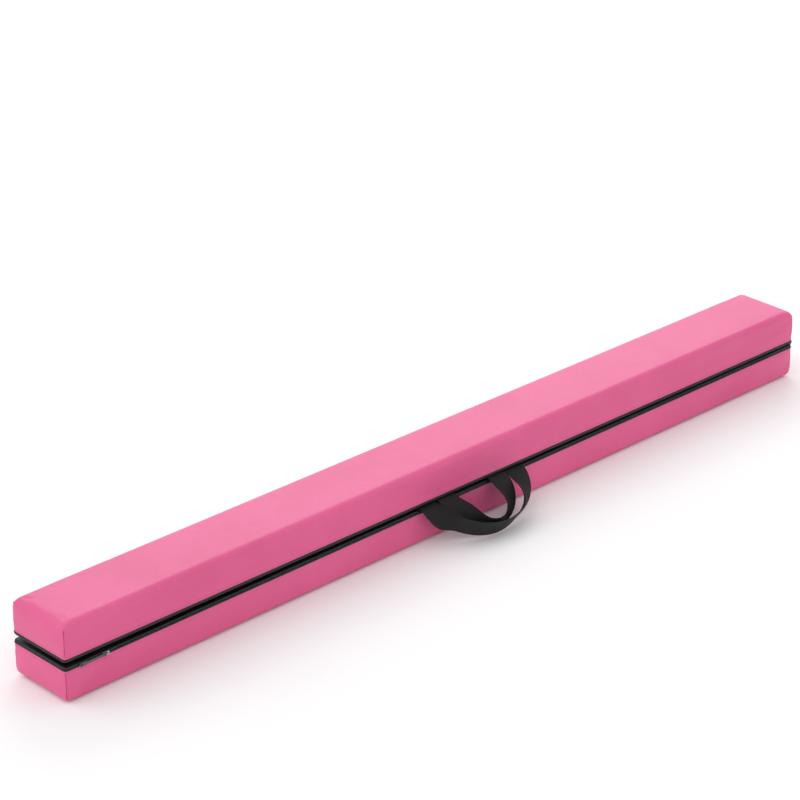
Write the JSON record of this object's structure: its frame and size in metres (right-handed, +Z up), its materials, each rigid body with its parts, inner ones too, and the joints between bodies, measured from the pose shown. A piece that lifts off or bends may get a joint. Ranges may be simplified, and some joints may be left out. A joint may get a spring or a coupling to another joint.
{
  "type": "floor balance beam",
  "caption": "Folding foam floor balance beam stored folded in half: soft covers, non-slip bases face to face, webbing hinge, zips and carrying loops.",
  "frame": {"origin": "centre of the face that the folded beam rests on", "axes": "+X along the beam towards the hinge, +Y across it away from the carrying loops, +Z up"},
  "size_m": [1.3504, 0.1727, 0.1082],
  "materials": {
    "cover_fabric": "pink suede-touch synthetic leather, matt, very fine grain",
    "nonslip_base": "black non-slip fabric with small raised rubber dots",
    "binding_tape": "black folded binding tape",
    "seam_thread": "dark pink lockstitch in a closed seam",
    "foam": "white expanded polyethylene foam",
    "zip_tape": "black woven zip tape",
    "zip_coil": "black nylon coil",
    "zip_metal": "dull nickel-plated zip hardware",
    "hinge_webbing": "light grey flat webbing",
    "strap_webbing": "black polypropylene webbing, plain weave"
  },
  "bodies": {
    "lower_half": {"lower_foam_core": "foam", "lower_cover": "cover_fabric", "lower_corner_seams": "seam_thread", "lower_base_binding": "binding_tape", "lower_base_panel": "nonslip_base", "lower_zip_tapes": "zip_tape", "lower_zip_coils": "zip_coil", "lower_zip_stops": "zip_metal", "lower_hinge_leaf": "hinge_webbing", "lower_handle_tails": "strap_webbing", "hinge_fold": "hinge_webbing"},
    "upper_half": {"upper_foam_core": "foam", "upper_cover": "cover_fabric", "upper_corner_seams": "seam_thread", "upper_base_binding": "binding_tape", "upper_base_panel": "nonslip_base", "upper_zip_tapes": "zip_tape", "upper_zip_coils": "zip_coil", "upper_zip_stops": "zip_metal", "upper_hinge_leaf": "hinge_webbing", "upper_handle_tails": "strap_webbing"},
    "lower_slider": {"lower_zip_slider": "zip_metal"},
    "lower_pull": {"lower_zip_pull": "zip_metal"},
    "upper_slider": {"upper_zip_slider": "zip_metal"},
    "upper_pull": {"upper_zip_pull": "zip_metal"},
    "lower_loop": {"lower_handle": "strap_webbing"},
    "upper_loop": {"upper_handle": "strap_webbing"}
  },
  "joints": [
    {"name": "fold_hinge", "type": "hinge", "parent": "lower_half", "child": "upper_half", "pos_m": [0.6735, 0, 0.052], "axis": [0, 1, 0], "range_deg": [0, 179.82], "deforming": ["hinge_fold"]},
    {"name": "lower_zip_slide", "type": "slide", "parent": "lower_half", "child": "lower_slider", "axis": [1, 0, 0], "range_m": [0, 1.2]},
    {"name": "lower_pull_swing", "type": "hinge", "parent": "lower_slider", "child": "lower_pull", "pos_m": [-0.611, -0.053, 0.0486], "axis": [0, 0, 1], "range_deg": [0, 180]},
    {"name": "upper_zip_slide", "type": "slide", "parent": "upper_half", "child": "upper_slider", "axis": [1, 0, -0.0031], "range_m": [0, 1.2]},
    {"name": "upper_pull_swing", "type": "hinge", "parent": "upper_slider", "child": "upper_pull", "pos_m": [-0.61098, 0.053, 0.05944], "axis": [-0.0031, 0, -1], "range_deg": [0, 180]},
    {"name": "lower_loop_swing", "type": "hinge", "parent": "lower_half", "child": "lower_loop", "pos_m": [0.008, -0.0556, 0.0522], "axis": [-1, 0, 0], "range_deg": [-35, 105]},
    {"name": "upper_loop_swing", "type": "hinge", "parent": "upper_half", "child": "upper_loop", "pos_m": [0.008, -0.0556, 0.05389], "axis": [-1, 0, 0.0031], "range_deg": [-35, 105]}
  ]
}
